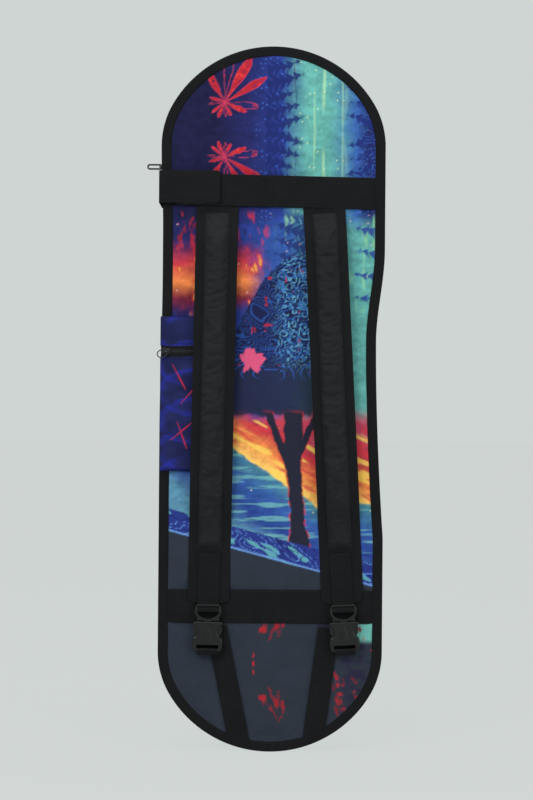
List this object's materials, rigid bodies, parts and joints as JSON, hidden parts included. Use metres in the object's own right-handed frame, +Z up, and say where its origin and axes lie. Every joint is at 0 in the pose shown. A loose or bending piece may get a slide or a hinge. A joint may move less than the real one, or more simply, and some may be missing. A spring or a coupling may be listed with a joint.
{
  "type": "padded board bag with backpack harness",
  "caption": "Long flat board bag with rounded ends, printed cloth faces, bound edges, a side zip under a flap, a front pocket and a two-strap buckled harness.",
  "frame": {"origin": "centre of the rear face, in the plane the bag lies on", "axes": "+Z up along the bag's length, +X to the right seen from the harness side, the harness and pocket on the -Y side"},
  "size_m": [0.2859, 0.0959, 0.8398],
  "materials": {
    "printed_cloth": null,
    "black_cloth": "matt black pack cloth",
    "binding_tape": "ribbed black binding tape",
    "webbing": "ribbed black webbing",
    "strap_cloth": "black satin-faced padded cloth",
    "strap_mesh": "black spacer mesh",
    "lining": "thin black lining",
    "foam": "closed-cell foam, hidden",
    "hook_and_loop": "black hook and loop",
    "zip_tape": "twill zip tape",
    "zip_coil": "black nylon coil",
    "black_metal": "black enamelled zip metal",
    "buckle_plastic": "glossy black moulded acetal"
  },
  "bodies": {
    "bag": {"flap_loop_patch": "hook_and_loop", "front_binding": "binding_tape", "front_foam": "foam", "front_lining": "lining", "front_panel": "printed_cloth", "gusset_bottom": "black_cloth", "gusset_left_front": "black_cloth", "gusset_left_rear": "black_cloth", "gusset_right": "black_cloth", "gusset_top": "black_cloth", "left_lower_webbing": "webbing", "left_strap_anchor": "webbing", "lower_band": "webbing", "main_zip_coil": "zip_coil", "main_zip_stops": "black_metal", "main_zip_tape_front": "zip_tape", "main_zip_tape_rear": "zip_tape", "pocket_back": "printed_cloth", "pocket_front": "printed_cloth", "pocket_hood": "printed_cloth", "pocket_walls": "printed_cloth", "pocket_zip_coil": "zip_coil", "pocket_zip_stops": "black_metal", "pocket_zip_tapes": "zip_tape", "rear_binding": "binding_tape", "rear_foam": "foam", "rear_lining": "lining", "rear_panel": "printed_cloth", "right_lower_webbing": "webbing", "right_strap_anchor": "webbing", "top_band": "webbing"},
    "flap_front": {"closing_flap_front": "webbing", "flap_hook_patch": "hook_and_loop"},
    "flap_side": {"closing_flap_side": "webbing"},
    "left_strap": {"left_buckle_female": "buckle_plastic", "left_female_loop": "webbing", "left_strap_backing": "strap_mesh", "left_strap_cover": "strap_cloth", "left_strap_foam": "foam", "left_strap_patch": "webbing"},
    "left_buckle_male": {"left_buckle_male": "buckle_plastic", "left_male_loop": "webbing"},
    "left_prong_left": {"left_prong_left": "buckle_plastic"},
    "left_prong_right": {"left_prong_right": "buckle_plastic"},
    "main_zip_link": {"main_zip_link": "black_metal"},
    "main_zip_pull": {"main_zip_pull": "black_metal"},
    "main_zip_slider": {"main_zip_slider": "black_metal"},
    "pocket_zip_pull": {"pocket_zip_pull": "black_metal"},
    "pocket_zip_slider": {"pocket_zip_slider": "black_metal"},
    "right_strap": {"right_buckle_female": "buckle_plastic", "right_female_loop": "webbing", "right_strap_backing": "strap_mesh", "right_strap_cover": "strap_cloth", "right_strap_foam": "foam", "right_strap_patch": "webbing"},
    "right_buckle_male": {"right_buckle_male": "buckle_plastic", "right_male_loop": "webbing"},
    "right_prong_left": {"right_prong_left": "buckle_plastic"},
    "right_prong_right": {"right_prong_right": "buckle_plastic"}
  },
  "joints": [
    {"name": "left_strap_swing", "type": "hinge", "parent": "bag", "child": "left_strap", "pos_m": [-0.066, -0.074, 0.223], "axis": [-0.9999, 0, 0.0157], "range_deg": [0, 15]},
    {"name": "left_buckle_release", "type": "slide", "parent": "left_strap", "child": "left_buckle_male", "axis": [0.0157, 0, 0.9999], "range_m": [0, 0.03], "deforming": ["left_prong_left", "left_prong_right"]},
    {"name": "left_prong_left_squeeze", "type": "hinge", "parent": "left_buckle_male", "child": "left_prong_left", "pos_m": [-0.08485, -0.0814, -0.26406], "axis": [0, -1, 0], "range_deg": [0, 12], "stiffness_Nm_per_rad": 0.2},
    {"name": "left_prong_right_squeeze", "type": "hinge", "parent": "left_buckle_male", "child": "left_prong_right", "pos_m": [-0.06246, -0.0814, -0.26442], "axis": [0, -1, 0], "range_deg": [-12, 0], "stiffness_Nm_per_rad": 0.2},
    {"name": "right_strap_swing", "type": "hinge", "parent": "bag", "child": "right_strap", "pos_m": [0.061, -0.074, 0.223], "axis": [-0.9985, 0, -0.0541], "range_deg": [0, 15]},
    {"name": "right_buckle_release", "type": "slide", "parent": "right_strap", "child": "right_buckle_male", "axis": [-0.0541, 0, 0.9985], "range_m": [0, 0.03], "deforming": ["right_prong_left", "right_prong_right"]},
    {"name": "right_prong_left_squeeze", "type": "hinge", "parent": "right_buckle_male", "child": "right_prong_left", "pos_m": [0.07617, -0.0814, -0.26419], "axis": [0, -1, 0], "range_deg": [0, 12], "stiffness_Nm_per_rad": 0.2},
    {"name": "right_prong_right_squeeze", "type": "hinge", "parent": "right_buckle_male", "child": "right_prong_right", "pos_m": [0.09854, -0.0814, -0.26298], "axis": [0, -1, 0], "range_deg": [-12, 0], "stiffness_Nm_per_rad": 0.2},
    {"name": "flap_side_swing", "type": "hinge", "parent": "bag", "child": "flap_side", "pos_m": [-0.1351, -0.0024, 0.2515], "axis": [0, 0, -1], "range_deg": [0, 90]},
    {"name": "flap_front_peel", "type": "hinge", "parent": "flap_side", "child": "flap_front", "pos_m": [-0.136, -0.0781, 0.2515], "axis": [0, 0, -1], "range_deg": [0, 120]},
    {"name": "main_zip_travel", "type": "slide", "parent": "bag", "child": "main_zip_slider", "axis": [0, 0, 1], "range_m": [-0.55, 0]},
    {"name": "main_zip_link_swing", "type": "hinge", "parent": "main_zip_slider", "child": "main_zip_link", "pos_m": [-0.127, -0.036, 0.279], "axis": [0, 1, 0], "range_deg": [0, 60]},
    {"name": "main_zip_pull_swing", "type": "hinge", "parent": "main_zip_link", "child": "main_zip_pull", "pos_m": [-0.137, -0.036, 0.279], "axis": [0, 1, 0], "range_deg": [-25, 30]},
    {"name": "pocket_zip_travel", "type": "slide", "parent": "bag", "child": "pocket_zip_slider", "axis": [1, 0, 0], "range_m": [0, 0.062]},
    {"name": "pocket_zip_pull_swing", "type": "hinge", "parent": "pocket_zip_slider", "child": "pocket_zip_pull", "pos_m": [-0.126, -0.08403, 0.056], "axis": [-0.5299, 0, 0.848], "range_deg": [0, 120]}
  ],
  "couplings": [
    {"joint": "left_prong_left_squeeze", "follows": "left_prong_right_squeeze", "ratio": -1},
    {"joint": "right_prong_left_squeeze", "follows": "right_prong_right_squeeze", "ratio": -1}
  ]
}
